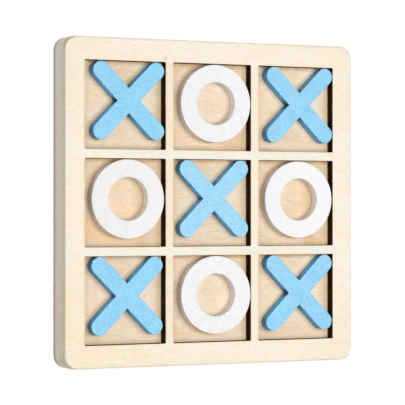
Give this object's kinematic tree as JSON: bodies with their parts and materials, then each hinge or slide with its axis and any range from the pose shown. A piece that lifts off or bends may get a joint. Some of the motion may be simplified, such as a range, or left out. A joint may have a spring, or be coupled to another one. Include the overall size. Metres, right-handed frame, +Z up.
{
  "type": "noughts-and-crosses board game",
  "caption": "Square wooden noughts-and-crosses board with a grid of recessed cells, each holding a loose painted cross or ring that lifts out.",
  "frame": {"origin": "middle of the board's underside, at table level", "axes": "+Z up out of the board's face; +Y to the board's top edge and +X to its right, as seen by someone reading the face"},
  "size_m": [0.15, 0.15, 0.0125],
  "materials": {
    "frame_wood": "bare pale basswood, sanded, with fine straight grain, a few specks and laser-charred walls inside the cells",
    "panel_wood": "bare sanded wood, slightly darker and warmer than the frame, with fine straight grain",
    "blue_paint": "wood painted light sky blue all over, satin, with the grain just showing through",
    "white_paint": "wood painted white, satin, over laser-cut edges that show warm grey-brown"
  },
  "bodies": {
    "board": {"base_panel": "panel_wood", "grid_frame": "frame_wood"},
    "cross_top_left": {"cross_top_left": "blue_paint"},
    "ring_top_center": {"ring_top_center": "white_paint"},
    "cross_top_right": {"cross_top_right": "blue_paint"},
    "ring_middle_left": {"ring_middle_left": "white_paint"},
    "cross_center": {"cross_center": "blue_paint"},
    "ring_middle_right": {"ring_middle_right": "white_paint"},
    "cross_bottom_left": {"cross_bottom_left": "blue_paint"},
    "ring_bottom_center": {"ring_bottom_center": "white_paint"},
    "cross_bottom_right": {"cross_bottom_right": "blue_paint"}
  },
  "joints": [
    {"name": "cross_top_left_lift", "type": "slide", "parent": "board", "child": "cross_top_left", "axis": [0, 0, 1], "range_m": [0, 0.03]},
    {"name": "ring_top_center_lift", "type": "slide", "parent": "board", "child": "ring_top_center", "axis": [0, 0, 1], "range_m": [0, 0.03]},
    {"name": "cross_top_right_lift", "type": "slide", "parent": "board", "child": "cross_top_right", "axis": [0, 0, 1], "range_m": [0, 0.03]},
    {"name": "ring_middle_left_lift", "type": "slide", "parent": "board", "child": "ring_middle_left", "axis": [0, 0, 1], "range_m": [0, 0.03]},
    {"name": "cross_center_lift", "type": "slide", "parent": "board", "child": "cross_center", "axis": [0, 0, 1], "range_m": [0, 0.03]},
    {"name": "ring_middle_right_lift", "type": "slide", "parent": "board", "child": "ring_middle_right", "axis": [0, 0, 1], "range_m": [0, 0.03]},
    {"name": "cross_bottom_left_lift", "type": "slide", "parent": "board", "child": "cross_bottom_left", "axis": [0, 0, 1], "range_m": [0, 0.03]},
    {"name": "ring_bottom_center_lift", "type": "slide", "parent": "board", "child": "ring_bottom_center", "axis": [0, 0, 1], "range_m": [0, 0.03]},
    {"name": "cross_bottom_right_lift", "type": "slide", "parent": "board", "child": "cross_bottom_right", "axis": [0, 0, 1], "range_m": [0, 0.03]}
  ]
}
